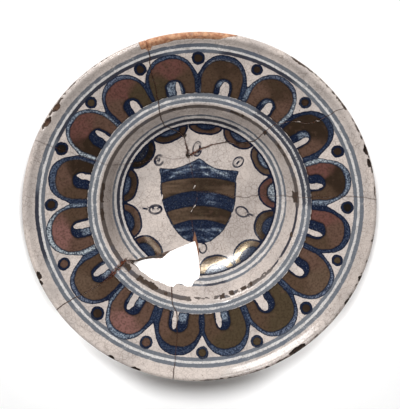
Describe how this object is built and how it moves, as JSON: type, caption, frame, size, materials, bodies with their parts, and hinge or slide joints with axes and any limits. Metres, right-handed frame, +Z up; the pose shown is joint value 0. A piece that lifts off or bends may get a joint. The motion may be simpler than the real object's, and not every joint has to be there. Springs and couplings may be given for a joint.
{
  "type": "maiolica plate",
  "caption": "Deep-welled earthenware dish with a broad sloping brim and foot ring, mended from sherds, with a hole where one sherd is lost.",
  "frame": {"origin": "on the table, at the centre of the foot ring", "axes": "+Z up along the dish's axis, out of the well; +Y towards the top of the painted shield"},
  "size_m": [0.25, 0.25, 0.047],
  "materials": {
    "glazed_clay": "opaque pinkish-white tin glaze over buff clay, painted in cobalt blue and brown lustre, finely crazed",
    "aged_adhesive": "dried amber-brown adhesive"
  },
  "bodies": {
    "root": {"sherd_top": "glazed_clay", "sherd_upper_right": "glazed_clay", "sherd_lower_right": "glazed_clay", "sherd_bottom": "glazed_clay", "sherd_left": "glazed_clay", "sherd_upper_left": "glazed_clay", "seam_top_left": "aged_adhesive", "seam_top_right": "aged_adhesive", "seam_right": "aged_adhesive", "seam_left": "aged_adhesive", "seam_lower_left": "aged_adhesive", "seam_bottom": "aged_adhesive", "seam_shield_upper": "aged_adhesive", "seam_shield_lower": "aged_adhesive"}
  },
  "joints": []
}
